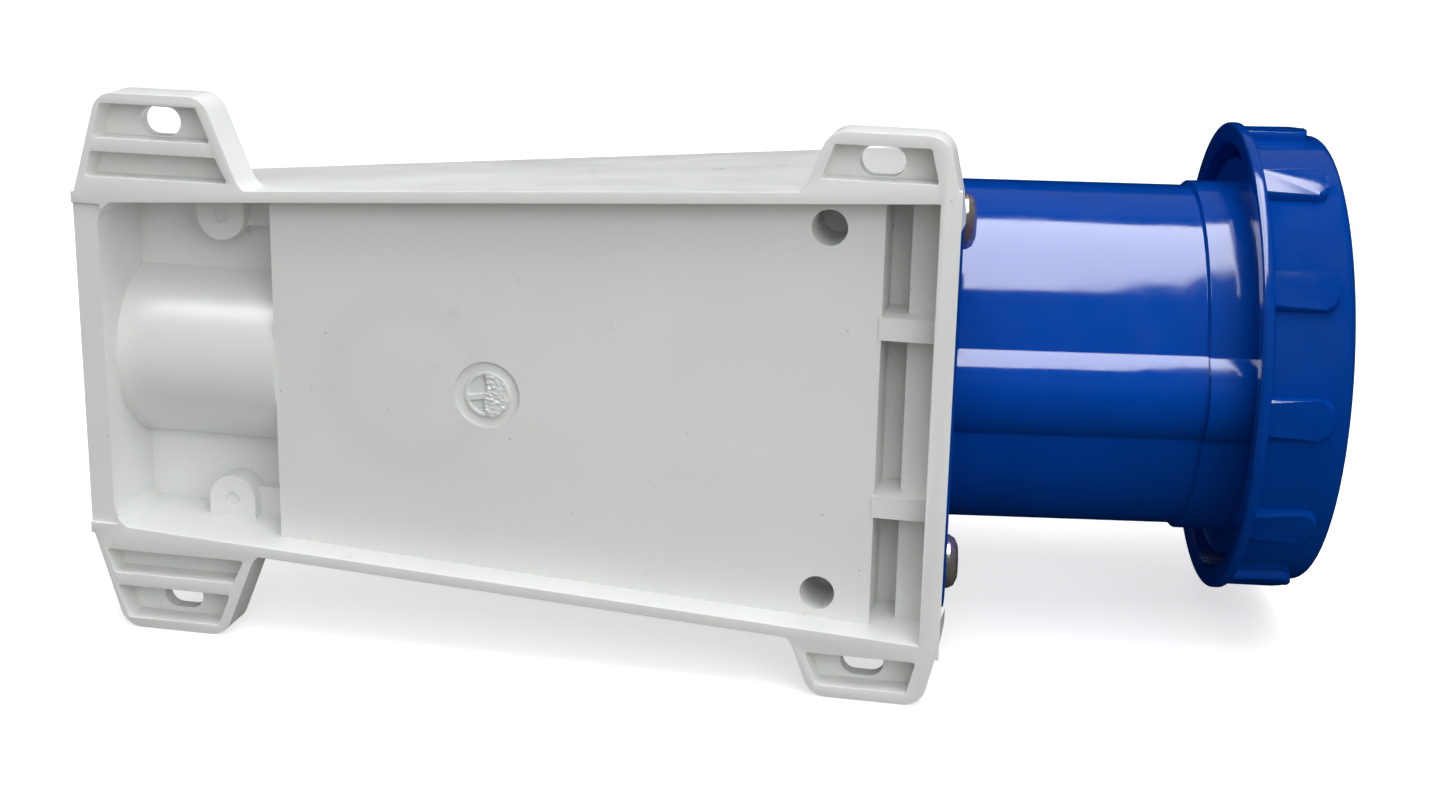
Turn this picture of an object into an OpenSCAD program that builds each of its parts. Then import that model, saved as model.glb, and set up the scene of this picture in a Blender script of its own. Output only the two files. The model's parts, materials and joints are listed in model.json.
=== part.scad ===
/* [Box] */
// Length of the box along X
box_l = 193; // [188:1:198]
// Distance from the left edge of the box to the left slots
slot_edge = 19; // [18:0.5:20]
// Half height of the box outline on the wall plane, at X = 0
half_mid = 44.7; // [44:0.1:46]
// Growth of that half height per millimetre of X
half_slope = 0.057; // [0.05:0.001:0.06]
// Lean of the long side walls towards the middle, in degrees
side_lean = 4.5; // [4:0.1:4.8]
// Thickness of the moulded walls
wall = 3.5; // [3:0.1:3.8]
// Thickness of the long rims on the wall side
rim_t = 2.5; // [2:0.1:3]
// Depth of the joint between box and cover, at X = 0
seam_mid = 69.8; // [68:0.2:71]
// Rise angle of that joint, in degrees
seam_rise = 24.5; // [24:0.1:25]
// Depth of the roof of the cover, at X = 0
roof_mid = 94.5; // [93:0.2:95.5]
// Rise angle of the roof, in degrees
roof_rise = 22.7; // [22:0.1:23]
// Radius of the rounded edges of the cover
cover_r = 4; // [3:0.5:5]

/* [Wall fixing] */
// Spacing of the wall slots along X
slot_px = 157; // [156:1:158]
// Spacing of the wall slots along Z
slot_pz = 109; // [108:1:110]
// Length of a wall slot, end to end
slot_l = 9.4; // [8:0.2:10]
// Width of a wall slot
slot_w = 6.2; // [5.2:0.1:6.4]
// Half height over the ears
ear_top = 61; // [60.5:0.1:61.5]
// Thickness of the ears
ear_t = 9.5; // [9:0.5:11]
// Depth of the pockets in the ears
pocket_d = 6; // [5:0.5:6.5]

/* [Back] */
// Depth of the raised back panel behind the wall plane
panel_y = 6.75; // [6:0.25:7]
// Thickness of the back panel and of the recess floors
plate_t = 3; // [2.5:0.1:3.2]
// Depth of the recess at the cable end
recess_y = 20; // [19:0.5:21]
// Depth of the ledge beside the inlet
ledge_y = 12; // [11:0.5:13]

/* [Cable entry] */
// Thread radius of the cable entry
entry_r = 17.8; // [17:0.1:18]
// Depth of the centre of the cable entry
entry_y = 26.1; // [26:0.1:26.4]
// Outer radius of the entry hump
hump_r = 20.6; // [20.5:0.1:21]
// Length of the entry thread
entry_l = 10; // [8:1:12]

/* [Inlet] */
// Tilt of the inlet axis away from the wall, in degrees
tilt = 9; // [8.5:0.1:9.5]
// Depth of the inlet axis where it crosses the inlet end of the box
inlet_y = 73.1; // [72.5:0.1:73.5]
// Length of the inlet flange across the depth of the box
flange_l = 107; // [106:0.5:107]
// Thickness of the inlet flange
flange_t = 4.5; // [4:0.1:4.6]
// Outer radius of the shroud tube
tube_r = 39.8; // [39.6:0.1:40]
// Inner radius of the shroud tube
bore_r = 36; // [35.6:0.1:36.2]
// Screw spacing of the flange across the depth of the box
flange_pq = 85; // [84:0.5:86]

/* [Contacts] */
// Radius of the circle on which the pins stand
pin_circle = 18; // [17.5:0.1:18.5]
// Diameter of the line and neutral pins
pin_d = 8; // [7.8:0.1:8]
// Diameter of the earth pin
earth_d = 10; // [9.8:0.1:10]
// Diameter of the pilot pin
pilot_d = 5; // [4.8:0.1:5]
// Free length of the pins in front of the carrier
pin_l = 54; // [50:1:56]

/* [Locking ring] */
// Outer radius of the rear lip of the ring
lip_r = 54.6; // [54:0.1:55]
// Outer radius of the grip of the ring
grip_r = 52; // [51.5:0.1:52.4]
// Inner radius of the rear of the ring
ring_in = 49.8; // [49:0.1:50]
// Number of grip ribs
rib_n = 12; // [12:1:12]
// Turn of the ring from open to locked, in degrees
ring_turn = 50; // [40:1:55]

/* [Hidden] */

$fn = 64;
eps = 0.01;
big = 200;

// Box outline on the wall plane
x_left = -slot_px / 2 - slot_edge;
x_right = x_left + box_l;
end_lean = 0.03;
left_rim = 5.5;
right_rim = 4.3;
// Features of the back, from left to right
recess_x0 = x_left + left_rim;
panel_x0 = -54.5;
panel_x1 = 79.5;
ledge_x = 84.5;
trough_x1 = x_right - right_rim;
trough_rib_z = 19.4;
trough_rib_w = 4.8;
trough_rib_y = 6.5;
left_rim_step = 0.8;
recess_r = 7;
// Pillars and blind cores of the back
lid_x = [-69, 50];
lid_z = [29.5, 31];
pillar_r = 4.2;
boss_z = 33;
boss_r = 5.5;
boss_y = 13.4;
web_y = 16.5;
dimple_r = 1.65;
core_x = 68;
core_z = 40;
core_r = 3.8;
core_deep = 22;
// Cover screws and inserts
lid_insert_r = 3.2;
lid_insert_l = 9;
lid_screw_r = 2.5;
lid_head_r = 4.4;
lid_head_h = 3.2;
lid_well_r = 4.9;
gasket_t = 1;
gasket_in = 1.2;
gasket_out = 2.6;
seam_gap = 0.25;
label_l = 62;
label_w = 40;
label_d = 0.6;
// Stations along the inlet axis, from the point where it crosses the end of the box
flange_s = -9.5;
flange_back = flange_s - flange_t;
seat_gap = 1.5;
seat_s = flange_back - seat_gap;
end_t = 4;
end_s = seat_s - end_t;
spigot_s = -26;
spigot_r = 37.2;
opening_r = 38;
flange_w0 = 48;
flange_w1 = 40;
flange_r = 7;
flange_near_z = 38.5;
flange_far_z = 30;
flange_hole_r = 3.3;
insert_r = 4;
insert_l = 9;
insert_boss_r = 5.4;
m6_r = 3;
m6_head_r = 6;
m6_head_h = 3.4;
key_w = 19;
key_r = 44;
bulge_r = 11.5;
collar_s = 45.7;
collar_r = 40.9;
pad_w = 19;
pad_r = 45.4;
disc_s = 57;
disc_t = 3;
disc_r = 46.5;
mouth_s = 73.4;
stop_w = 8;
stop_r = 44.6;
// Ring stations
ring_s = 54.6;
lip_w = 2.6;
ring_front = 75;
web_s = disc_s + disc_t + 0.4;
web_t = 3;
web_r = collar_r + 0.3;
retainer_gap = 0.4;
retainer_t = 1.6;
retainer_s = web_s + web_t + retainer_gap;
retainer_r = 43.4;
groove_r = 38.9;
seal_s = retainer_s + retainer_t;
seal_t = 3;
seal_r = 45;
ring_bore = 48.2;
rib_w = 9.4;
rib_l = 14;
rib_h = 2;
lug_n = 3;
lug_r = 44.6;
lug_angle = 34;
lug_t = 3;
// Carrier and contacts
carrier_s = 4;
carrier_t = 22;
carrier_gap = 0.2;
seat_lip_s = carrier_s - carrier_t;
seat_lip_r = 32;
cap_t = 4;
barrel_r = 6.4;
pilot_barrel_r = 4.2;
barrel_l = 20;
wire_r = 4.6;
pilot_wire_r = 2.2;
o_ring_r = 1.4;
terminal_screw_r = 2.5;
pilot_screw_r = 1.6;
carrier_screw_r = 1.75;
carrier_screw_x = 27;

// Rounded outlines

function unit(v) = v / norm(v);

function turn(a) = a > 180 ? a - 360 : (a < -180 ? a + 360 : a);

function corner(a, b, c, r, n = 6) =
    let (
        u = unit(a - b),
        v = unit(c - b),
        h = acos(u * v) / 2,
        o = b + unit(u + v) * r / sin(h),
        p = b + u * r / tan(h) - o,
        q = b + v * r / tan(h) - o,
        a0 = atan2(p[1], p[0]),
        da = turn(atan2(q[1], q[0]) - a0)
    )
    [for (i = [0:n]) o + r * [cos(a0 + da * i / n), sin(a0 + da * i / n)]];

// Each point is [x, y, corner radius]; a radius of 0 keeps the corner sharp
function rounded(pts) =
    let (
        n = len(pts),
        p = [for (q = pts) [q[0], q[1]]]
    )
    [for (i = [0:n - 1])
        each (pts[i][2] > 0 ? corner(p[(i + n - 1) % n], p[i], p[(i + 1) % n], pts[i][2]) : [p[i]])];

// Frames and profiles

function half_z(x, y) = half_mid + half_slope * x - tan(side_lean) * y;
function seam_y(x) = seam_mid + tan(seam_rise) * x;
function roof_y(x) = roof_mid + tan(roof_rise) * x;
function rim_mid_z(x) = half_z(x, 0) - rim_t + 0.4;
function left_x(y) = x_left + end_lean * y;
function axis_pt(s, q) =
    [x_right + s * cos(tilt) - q * sin(tilt), inlet_y + s * sin(tilt) + q * cos(tilt)];
function axis_q(s, y) = (y - inlet_y - s * sin(tilt)) / cos(tilt);

module on_inlet() {
    translate([x_right, inlet_y, 0])
        rotate([0, 0, tilt])
            rotate([0, 90, 0])
                children();
}

module along_y(y0, y1) {
    translate([0, y1, 0])
        rotate([90, 0, 0])
            linear_extrude(y1 - y0)
                children();
}

module both_z() {
    children();
    mirror([0, 0, 1])
        children();
}

module tube(r_out, r_in, s0, s1, fn = 96) {
    translate([0, 0, s0])
        difference() {
            cylinder(r = r_out, h = s1 - s0, $fn = fn);
            translate([0, 0, -1])
                cylinder(r = r_in, h = s1 - s0 + 2, $fn = fn);
        }
}

// Wedge between the two leaning side walls
module wedge(inset) {
    polyhedron(
        points = [
            for (side = [-1, 1], x = [-150, 150], y = [-5, 140])
                [x, y, side * (half_z(x, y) - inset)]
        ],
        faces = [[0, 2, 3, 1], [4, 5, 7, 6], [0, 1, 5, 4], [2, 6, 7, 3], [0, 4, 6, 2], [1, 3, 7, 5]]
    );
}

// Solid between those walls, from its outline in X and Y
module between_walls(outline, inset = 0) {
    intersection() {
        translate([0, 0, -big / 2])
            linear_extrude(big)
                polygon(outline);
        wedge(inset);
    }
}

step_x = -78;
step_y = entry_y + hump_r + 1;
bulk_q = axis_q(seat_s, roof_y(axis_pt(seat_s, 54)[0]));
ledge_top = axis_pt(flange_back, -flange_l / 2)[1] - 1;
seam_corner_q = axis_q(end_s, seam_y(axis_pt(end_s, 31)[0]));

// Line of the joint between box and cover, left to right, lifted by d
function seam_line(d) = [
    [x_left - 5, step_y + d],
    [step_x + d, step_y + d],
    [step_x + 2 + d, seam_y(step_x + 2) + d],
    axis_pt(end_s - d, seam_corner_q) + [0, d],
    axis_pt(end_s - d, 70)
];

module above_seam(d) {
    line = seam_line(d);
    translate([0, 0, -big / 2])
        linear_extrude(big)
            polygon(concat(line, [[line[4][0], 2 * big], [x_left - 5, 2 * big]]));
}

// Outer form of the cover, shrunk by d all round
module cover_form(d) {
    r = max(cover_r - d, 1);
    low_y = 20;
    x1 = axis_pt(end_s, 30)[0] + 10;
    hull() {
        between_walls([
            [left_x(low_y) + d, low_y], [x1, low_y],
            [x1, low_y + 1], [left_x(low_y) + d, low_y + 1]
        ], d / cos(side_lean));
        both_z()
            for (x = [x_left + d + r + 1.4, x1]) {
                yc = roof_y(x) - (r + d) / cos(roof_rise);
                translate([x, yc, half_z(x, yc) - (r + d) / cos(side_lean)])
                    sphere(r = r, $fn = 32);
            }
    }
}

// Box

box_outline = concat(
    [
        [x_left, 0],
        [x_right, 0],
        [x_right - 2.2, ledge_top],
        axis_pt(seat_s, axis_q(seat_s, ledge_top)),
        axis_pt(seat_s, bulk_q),
        axis_pt(end_s, bulk_q)
    ],
    [
        axis_pt(end_s, seam_corner_q),
        [step_x + 2, seam_y(step_x + 2)],
        [step_x, step_y],
        [left_x(step_y), step_y]
    ]
);

chamber_outline = [
    [left_x(recess_y + plate_t) + wall, recess_y + plate_t],
    [panel_x0 + plate_t, recess_y + plate_t],
    [panel_x0 + plate_t, panel_y + plate_t],
    [panel_x1 - plate_t, panel_y + plate_t],
    [panel_x1 - plate_t, recess_y + plate_t],
    axis_pt(end_s, axis_q(end_s, recess_y + plate_t)),
    axis_pt(end_s, 62),
    [left_x(60) + wall, 130]
];

ear_right = rounded([
    [56, rim_mid_z(56), 0], [63.4, half_z(63, 0), 5], [68.2, ear_top, 5],
    [92.2, ear_top, 5], [94.8, 49.6, 6], [x_right, 45, 0], [x_right, 42, 0], [x_right - 2, rim_mid_z(x_right - 2), 0]
]);

ear_left = rounded([
    [-52, rim_mid_z(-52), 0], [-58.2, half_z(-58, 0), 5], [-66, ear_top, 5],
    [-90.2, ear_top, 5], [-94.6, 46, 6], [x_left + 0.4, 38, 0], [x_left + 0.4, rim_mid_z(x_left), 0]
]);

pocket_right = rounded([[66.8, 51.2, 0.6], [69.4, 58.4, 0.6], [88.9, 58.4, 0.6], [90.7, 51.2, 0.6]]);
pocket_outer = rounded([[-91.8, 51.2, 0.6], [-89.4, 58.7, 0.6], [-67.6, 58.7, 0.6], [-64.5, 51.2, 0.6]]);
pocket_inner = rounded([[-93.9, 42.7, 0.6], [-92.4, 48.2, 0.6], [-63.6, 48.2, 0.6], [-60.9, 42.7, 0.6]]);

module slot_cut(x) {
    for (side = [-1, 1])
        translate([x + side * (slot_l - slot_w) / 2, ear_t + 1, slot_pz / 2])
            rotate([90, 0, 0])
                cylinder(r = slot_w / 2, h = ear_t + 2, $fn = 48);
    translate([x - (slot_l - slot_w) / 2, -1, slot_pz / 2 - slot_w / 2])
        cube([slot_l - slot_w, ear_t + 2, slot_w]);
}

module ear(outline, pockets, x) {
    difference() {
        along_y(0, ear_t)
            polygon(outline);
        for (p = pockets)
            along_y(-1, pocket_d)
                polygon(p);
        slot_cut(x);
    }
}

module y_cylinder(x, z, r, y0, y1, fn = 48) {
    translate([x, y1, z])
        rotate([90, 0, 0])
            cylinder(r = r, h = y1 - y0, $fn = fn);
}

module back_recesses() {
    intersection() {
        between_walls([
            [recess_x0, -1], [panel_x0, -1], [panel_x0, recess_y], [recess_x0 + 0.6, recess_y]
        ], rim_t);
        along_y(-2, recess_y + 1)
            polygon(rounded([
                [recess_x0 - 0.1, -rim_mid_z(recess_x0), recess_r],
                [recess_x0 - 0.1, rim_mid_z(recess_x0), recess_r],
                [panel_x0 + 1, half_z(panel_x0, 0), 0],
                [panel_x0 + 1, -half_z(panel_x0, 0), 0]
            ]));
    }
    between_walls([
        [panel_x0 - eps, -1], [panel_x1 + eps, -1], [panel_x1 + eps, panel_y], [panel_x0 - eps, panel_y]
    ], rim_t);
    between_walls([
        [panel_x1, -1], [trough_x1, -1], [trough_x1 - 0.4, ledge_y],
        [ledge_x, ledge_y], [ledge_x, recess_y], [panel_x1, recess_y]
    ], rim_t);
    translate([x_left - 1, -1, -half_z(x_left, 0) + rim_t])
        cube([left_rim + 2, 1 + left_rim_step, 2 * (half_z(x_left, 0) - rim_t)]);
}

module trough_rib() {
    translate([panel_x1 - 0.5, trough_rib_y, trough_rib_z - trough_rib_w / 2])
        cube([ledge_x - panel_x1 + 1, recess_y - trough_rib_y + 1, trough_rib_w]);
    translate([panel_x1, trough_rib_y, trough_rib_z - trough_rib_w / 2])
        cube([trough_x1 - panel_x1 + 0.5, ledge_y - trough_rib_y + 1, trough_rib_w]);
}

// Rear end of a cover-screw pillar, joined to the side wall and to the panel
module lid_boss() {
    x = lid_x[0];
    z = boss_z;
    y_cylinder(x, z, boss_r, boss_y, recess_y + 1);
    translate([x - boss_r, boss_y, z])
        cube([2 * boss_r, recess_y + 1 - boss_y, boss_r - 0.3]);
    translate([x, web_y, z - 2.5])
        cube([panel_x0 - x + 1, recess_y + 1 - web_y, 7.5]);
}

module pillars() {
    y_cylinder(lid_x[0], lid_z[0], pillar_r, recess_y + 1, big / 2);
    y_cylinder(lid_x[1], lid_z[1], pillar_r, panel_y + 1, big);
    translate([lid_x[1] - 1.2, panel_y + 1, lid_z[1] + 2])
        cube([2.4, seam_y(lid_x[1]) - panel_y - 6, half_z(lid_x[1], big / 2) - lid_z[1] - 2]);
    y_cylinder(core_x, core_z, core_r + 2, panel_y + 1, core_deep + plate_t);
}

module entry_hump() {
    intersection() {
        translate([recess_x0 - 1, entry_y, 0])
            rotate([0, 90, 0])
                cylinder(r = hump_r, h = panel_x0 - recess_x0 + 1, $fn = 96);
        translate([x_left, 0, -big / 2])
            cube([big, recess_y + plate_t, big]);
    }
    translate([recess_x0 - 2, entry_y, 0])
        rotate([0, 90, 0])
            cylinder(r = hump_r, h = entry_l - left_rim + 2, $fn = 96);
}

module entry_cut() {
    translate([x_left - 1, entry_y, 0])
        rotate([0, 90, 0])
            cylinder(r = entry_r, h = entry_l + 2, $fn = 96);
    translate([x_left + entry_l, entry_y, 0])
        rotate([0, 90, 0])
            cylinder(r = hump_r - 2.1, h = panel_x0 - x_left - entry_l - 2, $fn = 96);
}

module flange_spots() {
    for (side = [-1, 1]) {
        translate([side * flange_near_z, -flange_pq / 2, 0])
            children();
        translate([side * flange_far_z, flange_pq / 2, 0])
            children();
    }
}

module end_bosses() {
    on_inlet()
        flange_spots()
            translate([0, 0, seat_s - insert_l - 2])
                cylinder(r = insert_boss_r, h = insert_l + 2 - 0.5, $fn = 48);
}

module back_box() {
    color("whitesmoke")
        difference() {
            union() {
                difference() {
                    between_walls(box_outline);
                    between_walls(chamber_outline, wall / cos(side_lean));
                    back_recesses();
                }
                both_z() {
                    ear(ear_right, [pocket_right], slot_px / 2);
                    ear(ear_left, [pocket_outer, pocket_inner], -slot_px / 2);
                    trough_rib();
                    lid_boss();
                }
                difference() {
                    both_z()
                        pillars();
                    above_seam(0);
                }
                end_bosses();
                entry_hump();
            }
            entry_cut();
            both_z() {
                y_cylinder(core_x, core_z, core_r, -1, core_deep);
                y_cylinder(lid_x[0], boss_z, dimple_r, boss_y - 1, boss_y + 0.6);
                for (i = [0, 1])
                    y_cylinder(lid_x[i], lid_z[i], lid_insert_r,
                        seam_y(lid_x[i]) - lid_insert_l - 3, seam_y(lid_x[i]) + 10);
            }
            on_inlet() {
                translate([0, 0, end_s - 10])
                    cylinder(r = opening_r, h = end_t + 20, $fn = 96);
                flange_spots()
                    translate([0, 0, seat_s - insert_l])
                        cylinder(r = insert_r, h = insert_l + 5, $fn = 32);
            }
        }
}

// Cover and its fixings

module cover() {
    color("white")
        difference() {
            intersection() {
                union() {
                    difference() {
                        cover_form(0);
                        cover_form(wall);
                    }
                    both_z()
                        for (i = [0, 1])
                            intersection() {
                                cover_form(1);
                                y_cylinder(lid_x[i], lid_z[i], lid_well_r + 1.6, seam_y(lid_x[i]) + 2.6, big);
                            }
                }
                above_seam(seam_gap);
            }
            intersection() {
                above_seam(-1);
                difference() {
                    cover_form(gasket_in - 0.1);
                    cover_form(gasket_out + 0.1);
                    above_seam(gasket_t);
                }
            }
            both_z()
                for (i = [0, 1]) {
                    y_cylinder(lid_x[i], lid_z[i], lid_screw_r + 0.3, 0, big);
                    y_cylinder(lid_x[i], lid_z[i], lid_well_r, lid_seat(i), big);
                }
            label_field();
        }
}

// Depth of the seat under each cover-screw head
function lid_seat(i) = seam_y(lid_x[i]) + 8;

module label_field() {
    translate([0, roof_mid, 0])
        rotate([0, 0, roof_rise])
            translate([-label_l / 2 - 12, -label_d, -label_w / 2])
                cube([label_l, 5, label_w]);
}

module cover_gasket() {
    color("dimgray")
        intersection() {
            difference() {
                above_seam(0.02);
                above_seam(gasket_t - 0.02);
            }
            difference() {
                cover_form(gasket_in);
                cover_form(gasket_out);
            }
        }
}

module cover_inserts() {
    color("goldenrod")
        both_z()
            for (i = [0, 1])
                difference() {
                    y_cylinder(lid_x[i], lid_z[i], lid_insert_r,
                        seam_y(lid_x[i]) - lid_insert_l - 2.6, seam_y(lid_x[i]) - 2.6);
                    y_cylinder(lid_x[i], lid_z[i], lid_screw_r,
                        seam_y(lid_x[i]) - lid_insert_l - 4, seam_y(lid_x[i]));
                }
}

module cover_screws() {
    color("silver")
        both_z()
            for (i = [0, 1])
                difference() {
                    union() {
                        y_cylinder(lid_x[i], lid_z[i], lid_screw_r, seam_y(lid_x[i]) - 10, lid_seat(i) + 1);
                        y_cylinder(lid_x[i], lid_z[i], lid_head_r, lid_seat(i), lid_seat(i) + lid_head_h);
                    }
                    translate([lid_x[i], lid_seat(i) + lid_head_h, lid_z[i]]) {
                        cube([7, 3, 1.1], center = true);
                        cube([1.1, 3, 7], center = true);
                    }
                }
}

// Inlet

flange_outline = rounded([
    [-flange_w0, -flange_l / 2, flange_r],
    [flange_w0, -flange_l / 2, flange_r],
    [flange_w1, flange_l / 2, flange_r],
    [-flange_w1, flange_l / 2, flange_r]
]);

module key_block(w, r, s0, s1) {
    translate([-w / 2, -r, s0])
        cube([w, r - bore_r + 2, s1 - s0]);
}

// Key with a bulging outer face
module key_bulge(w, r, s0, s1) {
    intersection() {
        key_block(w, r, s0, s1);
        translate([0, bulge_r - r, s0])
            cylinder(r = bulge_r, h = s1 - s0, $fn = 96);
    }
}

module inlet_shroud() {
    color("royalblue")
        on_inlet()
            difference() {
                union() {
                    translate([0, 0, flange_back])
                        linear_extrude(flange_t)
                            polygon(flange_outline);
                    translate([0, 0, spigot_s])
                        cylinder(r = spigot_r, h = flange_back - spigot_s + 1, $fn = 96);
                    rotate_extrude($fn = 128)
                        polygon([
                            [30, flange_s - 1], [tube_r + 1.5, flange_s - 1], [tube_r + 1.5, flange_s],
                            [tube_r, flange_s + 1.5], [tube_r, collar_s], [collar_r, collar_s + 0.6],
                            [collar_r, disc_s], [disc_r, disc_s], [disc_r, disc_s + disc_t],
                            [collar_r, disc_s + disc_t], [collar_r, retainer_s], [groove_r, retainer_s],
                            [groove_r, retainer_s + retainer_t], [collar_r, retainer_s + retainer_t],
                            [collar_r, mouth_s - 0.8], [collar_r - 0.8, mouth_s], [30, mouth_s]
                        ]);
                    key_bulge(key_w, key_r, flange_s - 1, collar_s + 1);
                    key_bulge(pad_w, pad_r, collar_s + 0.3, disc_s + 1);
                    intersection() {
                        key_block(stop_w, stop_r, disc_s, web_s + web_t);
                        cylinder(r = stop_r, h = big);
                    }
                }
                translate([0, 0, carrier_s])
                    cylinder(r = bore_r, h = big, $fn = 96);
                translate([0, 0, seat_lip_s])
                    cylinder(r = bore_r - 1.5, h = carrier_t + 1, $fn = 96);
                translate([0, 0, spigot_s - 1])
                    cylinder(r = seat_lip_r, h = big, $fn = 96);
                translate([-4, -bore_r - 2.6, carrier_s])
                    cube([8, 6, big]);
                flange_spots()
                    translate([0, 0, flange_back - 1])
                        cylinder(r = flange_hole_r, h = flange_t + 2, $fn = 32);
            }
}

module flange_gasket() {
    color("dimgray")
        on_inlet()
            difference() {
                translate([0, 0, seat_s])
                    linear_extrude(seat_gap)
                        polygon([for (p = flange_outline) [p[0] * 0.97, p[1] * 0.985]]);
                translate([0, 0, seat_s - 1])
                    cylinder(r = opening_r, h = seat_gap + 2, $fn = 96);
                flange_spots()
                    translate([0, 0, seat_s - 1])
                        cylinder(r = flange_hole_r, h = seat_gap + 2, $fn = 32);
            }
}

module flange_inserts() {
    color("goldenrod")
        on_inlet()
            flange_spots()
                tube(insert_r, m6_r, seat_s - insert_l, seat_s - 0.3, 32);
}

module flange_screws() {
    color("silver")
        on_inlet()
            flange_spots()
                difference() {
                    union() {
                        translate([0, 0, seat_s - insert_l + 1])
                            cylinder(r = m6_r, h = flange_s - seat_s + insert_l, $fn = 32);
                        translate([0, 0, flange_s])
                            rotate_extrude($fn = 48)
                                polygon([
                                    [0, 0], [m6_head_r, 0], [m6_head_r, 1.2], [m6_head_r - 0.7, 2.4],
                                    [m6_head_r - 2.2, 3.1], [0, m6_head_h]
                                ]);
                    }
                    translate([0, 0, flange_s + m6_head_h]) {
                        cube([7, 1.2, 3.4], center = true);
                        cube([1.2, 7, 3.4], center = true);
                    }
                }
}

// Contacts: the earth pin stands nearest the wall, with line and neutral at a third of a turn

function pin_spot(k) = pin_circle * [sin(120 * k), -cos(120 * k)];

module pin_holes(extra) {
    translate([pin_spot(0)[0], pin_spot(0)[1], -big / 2])
        cylinder(r = barrel_r + extra, h = big, $fn = 48);
    for (k = [1, 2])
        translate([pin_spot(k)[0], pin_spot(k)[1], -big / 2])
            cylinder(r = barrel_r + extra, h = big, $fn = 48);
    translate([0, 0, -big / 2])
        cylinder(r = pilot_barrel_r + extra, h = big, $fn = 48);
}

module shank_holes(extra) {
    translate([pin_spot(0)[0], pin_spot(0)[1], -big / 2])
        cylinder(r = earth_d / 2 + extra, h = big, $fn = 48);
    for (k = [1, 2])
        translate([pin_spot(k)[0], pin_spot(k)[1], -big / 2])
            cylinder(r = pin_d / 2 + extra, h = big, $fn = 48);
    translate([0, 0, -big / 2])
        cylinder(r = pilot_d / 2 + extra, h = big, $fn = 48);
}

module carrier_screw_spots() {
    for (side = [-1, 1])
        translate([side * carrier_screw_x, 0, 0])
            children();
}

front_t = 8;
shoulder_s = carrier_s - front_t;

module contact_carrier() {
    color("darkslategray")
        on_inlet()
            difference() {
                union() {
                    translate([0, 0, seat_lip_s])
                        cylinder(r = bore_r - 1.5 - carrier_gap, h = carrier_t, $fn = 96);
                    translate([0, 0, carrier_s - eps])
                        cylinder(r = 29, h = 2, $fn = 96);
                }
                translate([0, 0, -big + shoulder_s])
                    intersection() {
                        cylinder(r = bore_r, h = big);
                        translate([0, 0, big / 2])
                            pin_holes(0.1);
                    }
                shank_holes(0.1);
                translate([0, 0, carrier_s - 6])
                    rotate_extrude($fn = 96)
                        translate([bore_r - 1.5 - carrier_gap + 0.4, 0])
                            circle(r = o_ring_r + 0.1, $fn = 24);
                carrier_screw_spots()
                    translate([0, 0, seat_lip_s - 1])
                        cylinder(r = carrier_screw_r, h = 13, $fn = 32);
            }
}

module carrier_seal() {
    color("black")
        on_inlet()
            translate([0, 0, carrier_s - 6])
                rotate_extrude($fn = 96)
                    intersection() {
                        translate([bore_r - 1.5 - carrier_gap + 0.4, 0])
                            circle(r = o_ring_r, $fn = 24);
                        translate([0, -3])
                            square([bore_r - 1.5, 6]);
                    }
}

module carrier_cap() {
    color("gray")
        on_inlet()
            difference() {
                translate([0, 0, seat_lip_s - cap_t])
                    cylinder(r = seat_lip_r - 0.3, h = cap_t, $fn = 96);
                pin_holes(-1.2);
                carrier_screw_spots()
                    translate([0, 0, seat_lip_s - cap_t - 1])
                        cylinder(r = carrier_screw_r + 0.2, h = cap_t + 2, $fn = 32);
            }
}

module carrier_screws() {
    color("silver")
        on_inlet()
            carrier_screw_spots() {
                translate([0, 0, seat_lip_s - cap_t - 0.5])
                    cylinder(r = carrier_screw_r, h = cap_t + 11, $fn = 32);
                difference() {
                    translate([0, 0, seat_lip_s - cap_t - 2.4])
                        cylinder(r = 3.4, h = 2.4, $fn = 32);
                    translate([-4, -0.5, seat_lip_s - cap_t - 3])
                        cube([8, 1, 1.8]);
                }
            }
}

// A turned pin: shank, shoulder held between carrier and cap, and a drilled terminal barrel behind
module turned_pin(d, br, wr) {
    tip = carrier_s + pin_l;
    back = seat_lip_s - cap_t - barrel_l;
    neck = br - 1.4;
    difference() {
        rotate_extrude($fn = 48)
            polygon([
                [0, back], [br - 1.6, back], [neck, back + 0.4], [neck, seat_lip_s],
                [br, seat_lip_s], [br, shoulder_s], [d / 2, shoulder_s],
                [d / 2, tip - d * 0.3], [d * 0.36, tip - d * 0.08], [d * 0.2, tip], [0, tip]
            ]);
        translate([0, 0, back - 1])
            cylinder(r = wr, h = barrel_l - 3, $fn = 32);
    }
}

back_s = seat_lip_s - cap_t - barrel_l;
screw_s = [back_s + 4.5, back_s + 12];

module pin_at(k) {
    on_inlet()
        translate([pin_spot(k)[0], pin_spot(k)[1], 0])
            children();
}

// The clamping-screw holes of a barrel point away from the centre of the inlet
module clamp_holes(k, r) {
    for (s = screw_s)
        translate([0, 0, s])
            rotate([0, 0, 120 * k - 90])
                rotate([0, 90, 0])
                    cylinder(r = r, h = 12, $fn = 32);
}

module main_pin(k, d) {
    pin_at(k)
        difference() {
            turned_pin(d, barrel_r, wire_r - 1.2);
            clamp_holes(k, terminal_screw_r);
        }
}

module pin_line() {
    color("gold")
        main_pin(1, pin_d);
}

module pin_neutral() {
    color("gold")
        main_pin(2, pin_d);
}

module pin_earth() {
    color("gold")
        main_pin(0, earth_d);
}

module pin_pilot() {
    color("gold")
        on_inlet()
            difference() {
                turned_pin(pilot_d, pilot_barrel_r, pilot_wire_r - 0.6);
                translate([0, 0, screw_s[0]])
                    rotate([-90, 0, 0])
                        cylinder(r = pilot_screw_r, h = 12, $fn = 32);
            }
}

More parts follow.
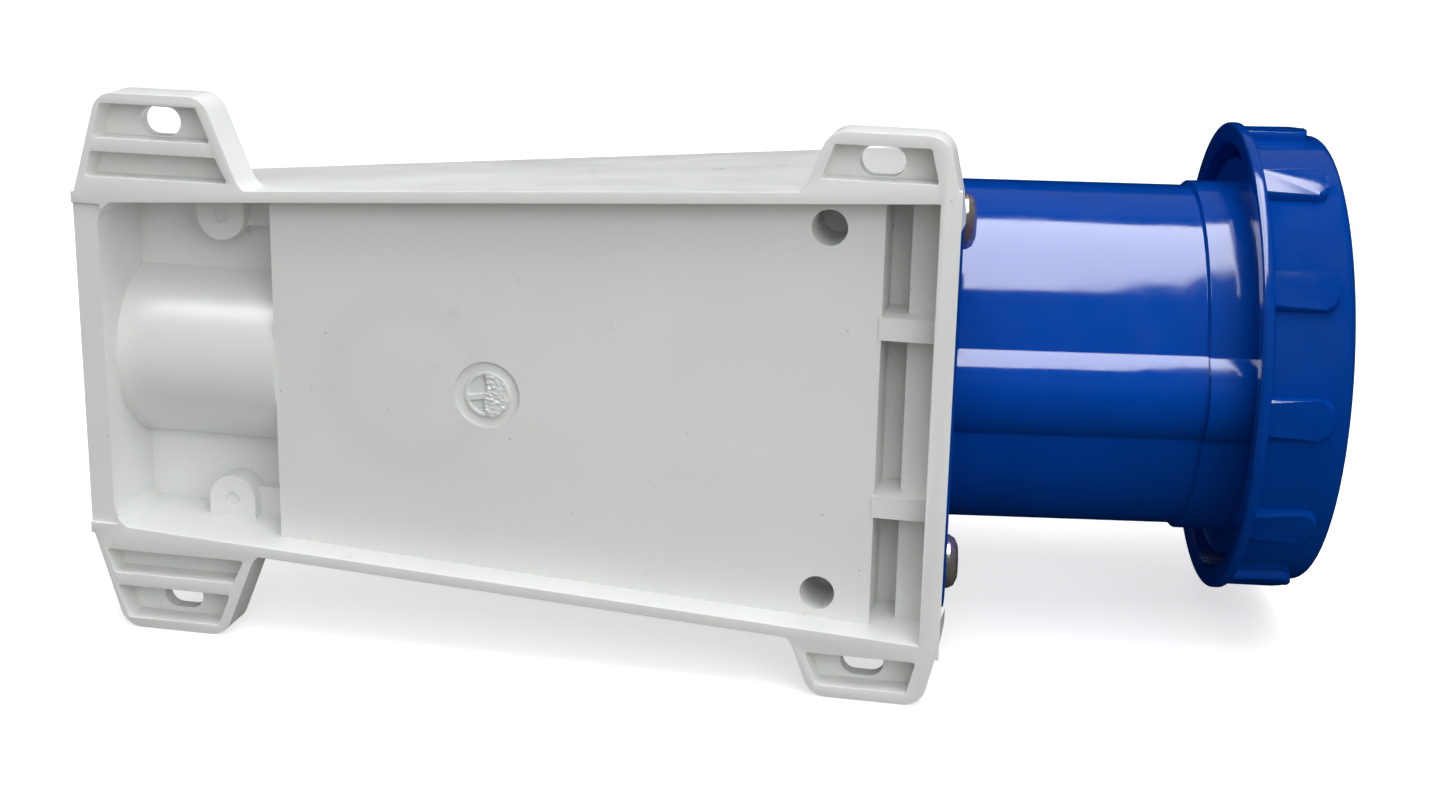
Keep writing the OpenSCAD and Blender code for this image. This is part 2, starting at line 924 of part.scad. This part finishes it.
module grub(r, x0, x1) {
    rotate([0, 90, 0])
        translate([0, 0, x0])
            difference() {
                cylinder(r = r, h = x1 - x0, $fn = 32);
                translate([-r - 1, -0.45, x1 - x0 - 1.4])
                    cube([2 * r + 2, 0.9, 3]);
            }
}

module terminal_screws() {
    color("silver")
        for (k = [0, 1, 2])
            pin_at(k)
                for (s = screw_s)
                    translate([0, 0, s])
                        rotate([0, 0, 120 * k - 90])
                            grub(terminal_screw_r, 2, 7.6);
}

module pilot_screw() {
    color("silver")
        on_inlet()
            translate([0, 0, screw_s[0]])
                rotate([0, 0, 90])
                    grub(pilot_screw_r, 0.9, 5);
}

// Locking ring

module ring_retainer() {
    color("lightgray")
        on_inlet()
            difference() {
                tube(retainer_r, groove_r + 0.02, retainer_s + 0.05, retainer_s + retainer_t - 0.05);
                translate([-3, 0, retainer_s - 1])
                    cube([6, 60, retainer_t + 2]);
            }
}

module mouth_seal() {
    color("black")
        on_inlet()
            tube(seal_r, collar_r + 0.05, seal_s, seal_s + seal_t);
}

module grip_rib() {
    top = grip_r + rib_h;
    intersection() {
        union() {
            translate([0, 0, ring_s + lip_w - 0.5])
                translate([-rib_w / 2, grip_r - 1.5, 0])
                    cube([rib_w, rib_h + 1.5, rib_l - rib_w / 2 + 0.5]);
            translate([0, grip_r - 1.5, ring_s + lip_w + rib_l - rib_w / 2])
                rotate([-90, 0, 0])
                    cylinder(r = rib_w / 2, h = rib_h + 1.5, $fn = 32);
        }
        cylinder(r = top, h = big, $fn = 128);
    }
}

module ring_lug() {
    rotate([0, 0, -lug_angle / 2])
        translate([0, 0, ring_front - lug_t - 1])
            rotate_extrude(angle = lug_angle, $fn = 128)
                translate([lug_r + 0.6, 0])
                    square([ring_bore - lug_r, lug_t]);
}

module locking_ring() {
    color("mediumblue")
        on_inlet()
            difference() {
                union() {
                    rotate_extrude($fn = 128)
                        polygon([
                            [ring_in, ring_s], [lip_r - 0.5, ring_s], [lip_r, ring_s + 0.5],
                            [lip_r, ring_s + lip_w], [grip_r, ring_s + lip_w + 0.3],
                            [grip_r, ring_front - 2], [grip_r - 2, ring_front],
                            [ring_bore, ring_front], [ring_bore, web_s + web_t], [web_r, web_s + web_t],
                            [web_r, web_s], [ring_in, web_s]
                        ]);
                    for (i = [0:rib_n - 1])
                        rotate([0, 0, 360 / rib_n * i])
                            grip_rib();
                    for (i = [0:lug_n - 1])
                        rotate([0, 0, 360 / lug_n * i + 30])
                            ring_lug();
                }
                stop_notch();
            }
}

// Arc cut in the web of the ring, in which the stop of the shroud limits the turn
module stop_notch() {
    half = asin(stop_w / 2 / web_r) + 1.5;
    translate([0, 0, web_s - 1])
        rotate([0, 0, -90 - half])
            rotate_extrude(angle = ring_turn + 2 * half, $fn = 128)
                translate([web_r - 1, 0])
                    square([stop_r + 0.6 - web_r + 1, web_t + 2]);
}

back_box();
cover();
cover_gasket();
cover_inserts();
cover_screws();
inlet_shroud();
flange_gasket();
flange_inserts();
flange_screws();
contact_carrier();
carrier_cap();
carrier_screws();
carrier_seal();
pin_line();
pin_neutral();
pin_earth();
pin_pilot();
terminal_screws();
pilot_screw();
ring_retainer();
mouth_seal();
locking_ring();
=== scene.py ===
import json
import math

import bmesh
import bpy
from mathutils import Matrix, Vector, noise


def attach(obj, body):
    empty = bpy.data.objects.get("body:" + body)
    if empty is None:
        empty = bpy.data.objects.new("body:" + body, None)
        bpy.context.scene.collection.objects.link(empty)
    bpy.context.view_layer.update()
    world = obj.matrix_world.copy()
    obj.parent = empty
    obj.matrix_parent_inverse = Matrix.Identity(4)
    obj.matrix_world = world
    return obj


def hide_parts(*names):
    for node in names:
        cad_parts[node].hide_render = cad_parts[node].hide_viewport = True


MM = 0.001
TILT = math.radians(9)
SHARP = math.radians(28)

# The moulding gate on the back panel, in millimetres: its place, and the sunk floor around it.
GATE_X, GATE_Z = -5.8, -1.5
SINK_Y, SINK_R, SINK_TAPER = 7.55, 7.6, 0.2

# The painted shade of a shallow sink ring on the back panel, in metres: its centre, and where it starts and
# ends.
SHADE_CENTRE = (-0.0235, 0.00675, 0.0)
SHADE_RISE, SHADE_FALL = (0.012, 0.0165), (0.0175, 0.023)

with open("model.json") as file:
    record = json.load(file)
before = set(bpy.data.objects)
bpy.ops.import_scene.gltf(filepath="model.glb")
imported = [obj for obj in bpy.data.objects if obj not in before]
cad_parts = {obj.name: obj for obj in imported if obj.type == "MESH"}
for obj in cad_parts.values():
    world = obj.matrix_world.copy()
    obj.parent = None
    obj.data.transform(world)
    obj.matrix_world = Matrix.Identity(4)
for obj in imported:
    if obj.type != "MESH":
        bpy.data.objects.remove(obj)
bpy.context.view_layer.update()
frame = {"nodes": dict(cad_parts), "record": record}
nodes = frame["nodes"]


# ---------------------------------------------------------------- materials

class Nodes:
    """Short forms for building a node material."""

    def __init__(self, name):
        self.material = bpy.data.materials.new(name)
        self.material.use_nodes = True
        self.tree = self.material.node_tree
        self.shader = self.tree.nodes["Principled BSDF"]
        self.coords = self.add("ShaderNodeTexCoord").outputs["Object"]

    def add(self, kind, **values):
        node = self.tree.nodes.new(kind)
        for key, value in values.items():
            setattr(node, key, value)
        return node

    def join(self, source, target):
        self.tree.links.new(source, target)

    def noise(self, scale, detail=4.0, roughness=0.55, stretch=None):
        node = self.add("ShaderNodeTexNoise")
        node.inputs["Scale"].default_value = scale
        node.inputs["Detail"].default_value = detail
        node.inputs["Roughness"].default_value = roughness
        source = self.coords
        if stretch:
            place = self.add("ShaderNodeMapping")
            place.inputs["Scale"].default_value = stretch
            self.join(source, place.inputs["Vector"])
            source = place.outputs["Vector"]
        self.join(source, node.inputs["Vector"])
        return node.outputs["Fac"]

    def specks(self, scale, size):
        node = self.add("ShaderNodeTexVoronoi")
        node.inputs["Scale"].default_value = scale
        self.join(self.coords, node.inputs["Vector"])
        return self.ramp(node.outputs["Distance"], size * 0.6, size, 1.0, 0.0)

    def ramp(self, source, low, high, out_low=0.0, out_high=1.0):
        node = self.add("ShaderNodeMapRange")
        for key, value in zip(("From Min", "From Max", "To Min", "To Max"), (low, high, out_low, out_high)):
            node.inputs[key].default_value = value
        self.join(source, node.inputs["Value"])
        return node.outputs["Result"]

    def times(self, a, b):
        node = self.add("ShaderNodeMath", operation="MULTIPLY")
        self.join(a, node.inputs[0])
        if isinstance(b, float):
            node.inputs[1].default_value = b
        else:
            self.join(b, node.inputs[1])
        return node.outputs[0]

    def mix(self, factor, a, b):
        node = self.add("ShaderNodeMix", data_type="RGBA")
        self.join(factor, node.inputs["Factor"])
        for socket, value in ((node.inputs[6], a), (node.inputs[7], b)):
            if isinstance(value, tuple):
                socket.default_value = (*value, 1.0)
            else:
                self.join(value, socket)
        return node.outputs[2]

    # Painted shade: a mask from ambient occlusion, strong where other surfaces are near.
    def corners(self, distance):
        node = self.add("ShaderNodeAmbientOcclusion", samples=6)
        node.inputs["Distance"].default_value = distance
        return self.ramp(node.outputs["AO"], 0.25, 0.95, 1.0, 0.0)

    def bump(self, source, strength, distance):
        node = self.add("ShaderNodeBump")
        node.inputs["Strength"].default_value = strength
        node.inputs["Distance"].default_value = distance
        self.join(source, node.inputs["Height"])
        self.join(node.outputs["Normal"], self.shader.inputs["Normal"])


def white_plastic(name, tint, ring=False):
    """Satin moulding with painted shade in its corners and a few specks; ring adds the painted shade of a
    shallow sink ring on the back panel.
    """
    n = Nodes(name)
    soft = n.ramp(n.noise(22, 3.0), 0.35, 0.7)
    shade = tuple(c * 0.955 for c in tint)
    base = n.mix(soft, tint, shade)
    if ring:
        # Painted shade: a faint darker ring where the panel has a shallow sink.
        gap = n.add("ShaderNodeVectorMath", operation="DISTANCE")
        n.join(n.coords, gap.inputs[0])
        gap.inputs[1].default_value = SHADE_CENTRE
        rise = n.ramp(gap.outputs["Value"], *SHADE_RISE)
        fall = n.ramp(gap.outputs["Value"], *SHADE_FALL, 1.0, 0.0)
        base = n.mix(n.times(n.times(rise, fall), 0.14), base, (0.56, 0.57, 0.575))
    # Painted shade: corners and recesses darkened towards a warm grey by the occlusion mask.
    corner_shade = n.times(n.corners(0.006), 0.16)
    base = n.mix(corner_shade, base, (0.58, 0.56, 0.46))
    dots = n.times(n.specks(190, 0.05), n.ramp(n.noise(45, 2.0), 0.50, 0.58))
    base = n.mix(n.times(dots, 0.55), base, (0.22, 0.21, 0.19))
    n.join(base, n.shader.inputs["Base Color"])
    n.join(n.ramp(n.noise(60, 5.0), 0.3, 0.7, 0.27, 0.38), n.shader.inputs["Roughness"])
    n.shader.inputs["Subsurface Weight"].default_value = 0.06
    n.shader.inputs["Subsurface Scale"].default_value = 0.004
    n.bump(n.noise(900, 3.0), 0.06, 0.0002)
    return n.material


def blue_plastic(name, deep):
    """Glossy moulding with soft dents, smudges and light wear along the tube."""
    n = Nodes(name)
    base = n.mix(n.ramp(n.noise(18, 3.0), 0.35, 0.7), deep, tuple(c * 0.78 for c in deep))
    wear = n.ramp(n.noise(55, 6.0, 0.7, (0.25, 1.0, 1.6)), 0.66, 0.78)
    base = n.mix(n.times(wear, 0.12), base, (0.05, 0.16, 0.55))
    n.join(base, n.shader.inputs["Base Color"])
    smudge = n.ramp(n.noise(140, 6.0, 0.7), 0.35, 0.75, 0.07, 0.17)
    n.join(smudge, n.shader.inputs["Roughness"])
    n.shader.inputs["Coat Weight"].default_value = 0.15
    n.shader.inputs["Coat Roughness"].default_value = 0.08
    n.bump(n.noise(20, 2.5), 0.35, 0.0018)
    return n.material


def metal(name, colour, rough, other=None, scale=120.0, metallic=0.85):
    """Bare or plated metal that drifts between two colours; unless given, the other is a darker first."""
    n = Nodes(name)
    tone = n.ramp(n.noise(scale, 4.0), 0.38, 0.62)
    n.join(n.mix(tone, colour, other or tuple(c * 0.8 for c in colour)), n.shader.inputs["Base Color"])
    n.shader.inputs["Metallic"].default_value = metallic
    grain = n.ramp(n.noise(scale * 3, 5.0), 0.3, 0.7, rough * 0.75, rough * 1.3)
    n.join(grain, n.shader.inputs["Roughness"])
    n.bump(n.noise(scale * 6, 3.0), 0.08, 0.0002)
    return n.material


def dull(name, colour, rough):
    """Rubber and dark plastic, with paler patches."""
    n = Nodes(name)
    tone = n.ramp(n.noise(90, 5.0), 0.35, 0.7)
    paler = tuple(min(1.0, c * 1.6 + 0.004) for c in colour)
    n.join(n.mix(tone, colour, paler), n.shader.inputs["Base Color"])
    grain = n.ramp(n.noise(200, 4.0), 0.3, 0.7, rough * 0.85, min(1.0, rough * 1.15))
    n.join(grain, n.shader.inputs["Roughness"])
    n.bump(n.noise(700, 3.0), 0.10, 0.0002)
    return n.material


HOUSING = white_plastic("housing_white", (0.795, 0.81, 0.805), ring=True)
COVER = white_plastic("cover_white", (0.82, 0.83, 0.825))
BLUE = blue_plastic("inlet_blue", (0.0003, 0.054, 0.36))
RING_BLUE = blue_plastic("ring_blue", (0.0003, 0.047, 0.31))
ZINC = metal("zinc_yellow", (0.74, 0.71, 0.54), 0.22, (0.62, 0.47, 0.66), 260.0)
STEEL = metal("steel_plain", (0.55, 0.55, 0.56), 0.30)
NICKEL = metal("nickel_plated", (0.78, 0.76, 0.70), 0.26, metallic=0.6)
BRASS = metal("brass_turned", (0.66, 0.46, 0.18), 0.30, metallic=0.7)
RUBBER = dull("rubber_black", (0.018, 0.018, 0.019), 0.72)
CARRIER = dull("carrier_dark", (0.030, 0.031, 0.034), 0.48)


# ---------------------------------------------------------------- pieces from the CAD bodies

def soften(bm, test, offset):
    """Rounds the edges whose two ends both pass the test, given in millimetres."""
    fold = 0.5
    chosen = [edge for edge in bm.edges
              if all(test(v.co / MM) for v in edge.verts) and edge.calc_face_angle(0.0) > fold]
    bevel(bm, chosen, offset, 3)


def bevel(bm, edges, offset, segments):
    bmesh.ops.bevel(bm, geom=edges, offset=offset * MM, segments=segments, affect="EDGES", profile=0.5,
                    clamp_overlap=True)


def shade(bm, sharp):
    """Smooth faces, with the edges that fold by more than sharp kept crisp."""
    for face in bm.faces:
        face.smooth = True
    for edge in bm.edges:
        edge.smooth = len(edge.link_faces) == 2 and edge.calc_face_angle(0.0) < sharp


def mesh_of(bm, name):
    mesh = bpy.data.meshes.new(name)
    bm.to_mesh(mesh)
    bm.free()
    return mesh


def sunk(mesh):
    """The mesh with a shallow round sink pressed into its back panel."""
    bm = bmesh.new()
    bmesh.ops.create_cone(bm, cap_ends=True, segments=96, radius1=(SINK_R - SINK_TAPER) * MM,
                          radius2=SINK_R * MM, depth=SINK_Y * MM,
                          matrix=Matrix.Translation((GATE_X * MM, SINK_Y / 2 * MM, GATE_Z * MM))
                          @ Matrix.Rotation(math.pi / 2, 4, "X"))
    host, tool = bpy.data.objects.new("host", mesh), bpy.data.objects.new("sink", mesh_of(bm, "sink"))
    for thing in (host, tool):
        bpy.context.collection.objects.link(thing)
    cut = host.modifiers.new("sink", "BOOLEAN")
    cut.object = tool
    cut.solver = "EXACT"
    bpy.context.view_layer.update()
    result = bpy.data.meshes.new_from_object(host.evaluated_get(bpy.context.evaluated_depsgraph_get()))
    for thing in (host, tool):
        bpy.data.objects.remove(thing)
    return result


def rounded(node, material, width, flat=1.5, soft=(), change=None):
    """Puts a copy of a CAD node, with its flat faces joined and its edges rounded, in the node's place.

    Faces within flat degrees are joined, and soft lists tests of edges with larger radii, in millimetres.
    """
    mesh = nodes[node].data.copy()
    bm = bmesh.new()
    bm.from_mesh(mesh)
    bmesh.ops.remove_doubles(bm, verts=bm.verts, dist=2e-6)
    bmesh.ops.dissolve_limit(bm, angle_limit=math.radians(flat), verts=bm.verts, edges=bm.edges)
    for test, offset in soft:
        soften(bm, test, offset)
    shade(bm, SHARP)
    bm.to_mesh(mesh)
    bm.free()
    if change:
        mesh = change(mesh)
    mesh.name = node + "_look"
    if "custom_normal" in mesh.attributes:
        mesh.attributes.remove(mesh.attributes["custom_normal"])
    mesh.materials.clear()
    mesh.materials.append(material)
    piece = bpy.data.objects.new(node + "_look", mesh)
    bpy.context.collection.objects.link(piece)
    edge_round = piece.modifiers.new("edges", "BEVEL")
    edge_round.width = width
    edge_round.segments = 2
    edge_round.limit_method = "ANGLE"
    edge_round.angle_limit = SHARP
    edge_round.use_clamp_overlap = True
    edge_round.harden_normals = True
    edge_round.miter_outer = "MITER_ARC"
    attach(piece, "root")
    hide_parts(node)


def finish_node(node, material):
    mesh = nodes[node].data
    mesh.materials.clear()
    mesh.materials.append(material)


def show(name, mesh, material, body="root"):
    """Adds a piece that scene.py made."""
    mesh.materials.append(material)
    piece = bpy.data.objects.new(name, mesh)
    bpy.context.collection.objects.link(piece)
    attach(piece, body)
    return piece


def on_wall_side(p):
    return abs(p.y) < 0.02


def on_trough_rib(p):
    """The long edges of the two ribs across the trough: their top's depth, middle, half-width and start."""
    top, middle, half, start, near = 6.5, 19.4, 2.4, 79, 0.05
    return abs(p.y - top) < near and abs(abs(abs(p.z) - middle) - half) < near and p.x > start


rounded("back_box", HOUSING, 0.5 * MM, soft=((on_wall_side, 0.85), (on_trough_rib, 1.3)),
        change=sunk)
rounded("cover", COVER, 0.6 * MM, flat=0.6)
rounded("inlet_shroud", BLUE, 0.5 * MM)
rounded("flange_screws", ZINC, 0.25 * MM)
rounded("cover_screws", ZINC, 0.2 * MM)
for node, material in {
    "cover_gasket": RUBBER, "cover_inserts": BRASS, "flange_gasket": RUBBER, "flange_inserts": BRASS,
    "contact_carrier": CARRIER, "carrier_cap": CARRIER, "carrier_screws": STEEL, "carrier_seal": RUBBER,
    "pin_line": NICKEL, "pin_neutral": NICKEL, "pin_earth": NICKEL, "pin_pilot": NICKEL,
    "terminal_screws": STEEL, "pilot_screw": STEEL, "ring_retainer": STEEL, "mouth_seal": RUBBER,
}.items():
    finish_node(node, material)


# ---------------------------------------------------------------- locking ring

# Radii, widths and stations along the inlet axis from the joint's place, all in millimetres, except for the
# lugs' span, which is in degrees.
BARREL_R, BORE_R, SKIRT_R, WEB_R, BEAD_R = 52.0, 48.2, 49.8, 41.2, 54.6
RING_BACK, BEAD_FRONT, WEB_BACK, WEB_FRONT, RING_FACE = 54.6, 57.2, 61.0, 64.0, 75.0
RIB_COUNT, RIB_HALF, RIB_TURN, RIB_ROOT, RIB_TOP = 12, 4.5, 2.7, 50.6, 54.0
RIB_BACK, RIB_FRONT = 55.2, 70.9
LUG_COUNT, LUG_SPAN, LUG_R, LUG_BACK, LUG_FRONT = 3, 34, 45.2, 71.0, 74.0


def inlet_frame():
    """Turns (across, depth, along) of the inlet axis into the frame: local Z runs out of the mouth."""
    place = Matrix.Translation(frame["record"]["behaviour"]["joints"][0]["pos_m"])
    return place @ Matrix.Rotation(TILT, 4, "Z") @ Matrix.Rotation(math.pi / 2, 4, "Y")


def skin(bm, rows):
    """Joins each row of points, taken as a closed outline, to the next."""
    for row, after in zip(rows, rows[1:]):
        for k in range(len(row)):
            j = (k + 1) % len(row)
            bm.faces.new((row[k], after[k], after[j], row[j]))


def bar(bm, rows):
    """A closed bar along the rows."""
    skin(bm, rows)
    bm.faces.new(rows[0][::-1])
    bm.faces.new(rows[-1])


def swing(bm, profile, a):
    """The profile of (radius, station) points, in millimetres, turned to angle a about the local Z axis."""
    return [bm.verts.new((r * MM * math.cos(a), r * MM * math.sin(a), z * MM)) for r, z in profile]


def arc(cx, cy, r, start, end, n=4):
    turns = (math.radians(start + (end - start) * i / n) for i in range(n + 1))
    return [(cx + r * math.cos(a), cy + r * math.sin(a)) for a in turns]


def ring_barrel(bm):
    """The barrel with the bead at its back, and the web that rides on the tube."""
    profile = [(SKIRT_R, RING_BACK + 0.6), (SKIRT_R + 0.6, RING_BACK)]
    profile += arc(BEAD_R - 0.8, RING_BACK + 0.8, 0.8, -90, 0)
    profile += arc(BEAD_R - 0.7, BEAD_FRONT - 0.7, 0.7, 0, 90)
    profile += arc(BARREL_R + 0.5, BEAD_FRONT + 0.8, 0.5, 270, 180, 3)
    profile += arc(BARREL_R - 2.0, RING_FACE - 2.0, 2.0, 0, 90, 6)
    profile += [(BORE_R + 0.5, RING_FACE), (BORE_R, RING_FACE - 0.5)]
    profile += [(BORE_R, WEB_FRONT + 0.4), (BORE_R - 0.4, WEB_FRONT)]
    profile += [(WEB_R + 0.4, WEB_FRONT), (WEB_R, WEB_FRONT - 0.4)]
    profile += [(WEB_R, WEB_BACK + 0.4), (WEB_R + 0.4, WEB_BACK)]
    profile += [(SKIRT_R - 0.4, WEB_BACK), (SKIRT_R, WEB_BACK - 0.4)]
    steps = 180
    rows = [swing(bm, profile, 2 * math.pi * i / steps) for i in range(steps)]
    skin(bm, rows + rows[:1])


def grip_rib(bm, turn):
    """One soft rib: an arched outline, drawn out from inside the barrel and rounded around its top."""
    about = Matrix.Rotation(turn, 4, "Z")
    side, shoulder = RIB_HALF - RIB_TURN, RIB_FRONT - RIB_TURN
    outline = [(-RIB_HALF, RIB_BACK), (RIB_HALF, RIB_BACK)]
    outline += arc(side, shoulder, RIB_TURN, 0, 90, 6) + arc(-side, shoulder, RIB_TURN, 90, 180, 6)
    low = [bm.verts.new(about @ Vector((x * MM, RIB_ROOT * MM, z * MM))) for x, z in outline]
    high = [bm.verts.new(about @ Vector((x * MM, math.sqrt(RIB_TOP ** 2 - x * x) * MM, z * MM)))
            for x, z in outline]
    top = bm.faces.new(high)
    bm.faces.new(low[::-1])
    for k in range(len(outline)):
        j = (k + 1) % len(outline)
        bm.faces.new((low[k], low[j], high[j], high[k]))
    bevel(bm, list(top.edges), 0.95, 4)


def bayonet_lug(bm, middle):
    """One lug inside the barrel's mouth, about the middle angle in degrees."""
    root, steps = BORE_R + 0.4, 12
    section = [(LUG_R, LUG_BACK), (root, LUG_BACK), (root, LUG_FRONT), (LUG_R, LUG_FRONT)]
    start = middle - LUG_SPAN / 2
    bar(bm, [swing(bm, section, math.radians(start + LUG_SPAN * k / steps)) for k in range(steps + 1)])


def ring_mesh():
    bm = bmesh.new()
    ring_barrel(bm)
    for i in range(RIB_COUNT):
        grip_rib(bm, 2 * math.pi * i / RIB_COUNT)
    for i in range(LUG_COUNT):
        bayonet_lug(bm, 30 + 360 / LUG_COUNT * i)
    bmesh.ops.recalc_face_normals(bm, faces=bm.faces)
    shade(bm, math.radians(32))
    bm.transform(inlet_frame())
    return mesh_of(bm, "ring_look")


ring_look = show("ring_look", ring_mesh(), RING_BLUE, "ring")
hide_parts("locking_ring")


# ---------------------------------------------------------------- moulding marks on the back

def sprue_height(x, z):
    """Millimetres of the torn stub above the sunk floor: a rough side, and a low one with a bar."""
    rough, bar_top, low = 0.90, 0.62, 0.10
    torn = noise.noise(Vector((x * 0.9, z * 1.6, 3.0))) + 0.5 * noise.noise(Vector((x * 2.4, z * 3.1, 7.0)))
    if x > -0.3 + 0.35 * math.sin(z * 0.9):
        return rough + 0.40 * torn
    if -0.9 < z - 0.2 * x < 0.5:
        return bar_top + 0.05 * torn
    return low + 0.05 * torn


def gate_mark():
    """The stub of the moulding gate, standing in the sunk ring that the back panel has around it."""
    reach, rings, spokes = 5.2, 22, 72
    rim_inside, rim_outside, rim_high, buried = 4.4, 5.1, 0.6, -0.1
    bm = bmesh.new()
    rows = []
    for k in range(1, rings + 1):
        r = reach * k / rings
        rim = rim_high if rim_inside < r < rim_outside else 0.0
        row = []
        for a in (2 * math.pi * i / spokes for i in range(spokes)):
            x, z = r * math.cos(a), r * math.sin(a)
            height = buried if k == rings else max(rim, sprue_height(x, z))
            row.append(bm.verts.new((x * MM, (SINK_Y - height) * MM, z * MM)))
        rows.append(row)
    bm.faces.new(rows[0])
    skin(bm, rows)
    bm.faces.new(rows[-1][::-1])
    bmesh.ops.recalc_face_normals(bm, faces=bm.faces)
    bm.transform(Matrix.Translation((GATE_X * MM, 0.0, GATE_Z * MM)))
    shade(bm, math.radians(40))
    show("gate_mark", mesh_of(bm, "gate_mark"), HOUSING)


gate_mark()


def entry_thread():
    """The gland thread, wound along the wall of the cable entry."""
    entry = next(m for m in frame["record"]["mounts"] if m["name"] == "cable_entry")
    bore, pitch, turns, steps, first = entry["dims"]["r_mm"], 1.5, 5, 60, 1.2
    root, crest, root_half, crest_half = bore + 0.3, bore - 0.5, 0.62, 0.1
    section = ((root, -root_half), (crest, -crest_half), (crest, crest_half), (root, root_half))
    bm = bmesh.new()
    rows = []
    for i in range(turns * steps + 1):
        a, along = 2 * math.pi * i / steps, first + pitch * i / steps
        rows.append([bm.verts.new((along + w, r * math.cos(a), r * math.sin(a))) for r, w in section])
    bar(bm, rows)
    bmesh.ops.recalc_face_normals(bm, faces=bm.faces)
    bm.transform(Matrix.Translation(entry["pos_m"]) @ Matrix.Scale(MM, 4))
    show("entry_thread", mesh_of(bm, "entry_thread"), HOUSING)


entry_thread()


# ---------------------------------------------------------------- stage, lights and camera

def stage_floor():
    """A pale round floor that turns up into a wall, and gives the object no light, gloss or shadow."""
    n = Nodes("floor_pale")
    n.shader.inputs["Base Color"].default_value = (0.80, 0.80, 0.80, 1)
    n.shader.inputs["Roughness"].default_value = 0.9
    n.shader.inputs["Emission Color"].default_value = (1, 1, 1, 1)
    n.shader.inputs["Emission Strength"].default_value = 0.55
    flat, cove, wall_top, drop, spokes = 3.0, 1.2, 5.0, 0.0612, 72
    bm = bmesh.new()
    profile = arc(flat, cove, cove, -90, 0, 8) + [(flat + cove, wall_top)]
    rows = [[bm.verts.new((r * math.cos(a), r * math.sin(a), z - drop)) for r, z in profile]
            for a in (2 * math.pi * i / spokes for i in range(spokes))]
    bm.faces.new([row[0] for row in rows])
    for row, after in zip(rows, rows[1:] + rows[:1]):
        for k in range(len(row) - 1):
            bm.faces.new((row[k], after[k], after[k + 1], row[k + 1])).smooth = True
    mesh = mesh_of(bm, "floor")
    mesh.materials.append(n.material)
    floor = bpy.data.objects.new("floor", mesh)
    floor.visible_diffuse = False
    floor.visible_glossy = False
    floor.visible_shadow = False
    bpy.context.collection.objects.link(floor)


def area_light(name, place, target, size, power, seen_in):
    """A soft light for either the diffuse or the gloss of the materials."""
    data = bpy.data.lights.new(name, "AREA")
    data.shape = "RECTANGLE"
    data.size, data.size_y = size
    data.energy = power
    light = bpy.data.objects.new(name, data)
    light.location = place
    light.rotation_euler = (Vector(target) - Vector(place)).to_track_quat("-Z", "Y").to_euler()
    light.visible_camera = False
    light.visible_diffuse = seen_in == "diffuse"
    light.visible_glossy = seen_in == "gloss"
    bpy.context.collection.objects.link(light)


stage_floor()
area_light("top", (0.25, -0.20, 1.3), (0.05, 0.05, 0.0), (0.9, 1.3), 13, "diffuse")
area_light("front", (0.55, -1.30, 0.75), (0.02, 0.0, 0.0), (1.2, 1.0), 8.0, "diffuse")
area_light("side", (1.20, -0.90, 0.40), (0.05, 0.02, 0.0), (0.8, 0.8), 4, "diffuse")
area_light("back", (0.0, 1.3, 1.1), (0.05, 0.1, 0.0), (2.2, 1.0), 5, "diffuse")
area_light("softbox", (0.26, -0.16, 1.2), (0.26, -0.16, 0.0), (0.38, 1.30), 15, "gloss")
area_light("rim_card", (-0.50, -0.25, 1.2), (-0.50, -0.25, 0.0), (0.90, 1.5), 42, "gloss")
area_light("sheen", (0.1, 1.3, 1.3), (0.1, 0.1, 0.0), (2.2, 1.0), 1.1, "gloss")

world = bpy.data.worlds.new("studio")
world.use_nodes = True
tree = world.node_tree
direction = tree.nodes.new("ShaderNodeTexCoord")
split = tree.nodes.new("ShaderNodeSeparateXYZ")
tone = tree.nodes.new("ShaderNodeValToRGB")
tone.color_ramp.elements[0].position = 0.35
tone.color_ramp.elements[0].color = (0.24, 0.235, 0.22, 1)
tone.color_ramp.elements[1].position = 0.80
tone.color_ramp.elements[1].color = (0.42, 0.42, 0.42, 1)
lift = tree.nodes.new("ShaderNodeMapRange")
lift.inputs["From Min"].default_value = -1.0
tree.links.new(direction.outputs["Generated"], split.inputs["Vector"])
tree.links.new(split.outputs["Z"], lift.inputs["Value"])
tree.links.new(lift.outputs["Result"], tone.inputs["Fac"])
tree.links.new(tone.outputs["Color"], tree.nodes["Background"].inputs["Color"])
bpy.context.scene.world = world
world.cycles_visibility.glossy = False
bpy.context.scene.view_settings.view_transform = "Standard"

camera_data = bpy.data.cameras.new("camera")
camera_data.lens = 53.71
camera_data.sensor_width = 36.0
camera_data.clip_start = 0.01
camera = bpy.data.objects.new("camera", camera_data)
camera.matrix_world = Matrix((
    (0.97938, -0.07606, 0.18717, 0.13201),
    (0.20087, 0.26726, -0.94246, -0.42437),
    (0.02166, 0.96062, 0.27703, 0.12713),
    (0.0, 0.0, 0.0, 1.0),
))
bpy.context.collection.objects.link(camera)
bpy.context.scene.camera = camera
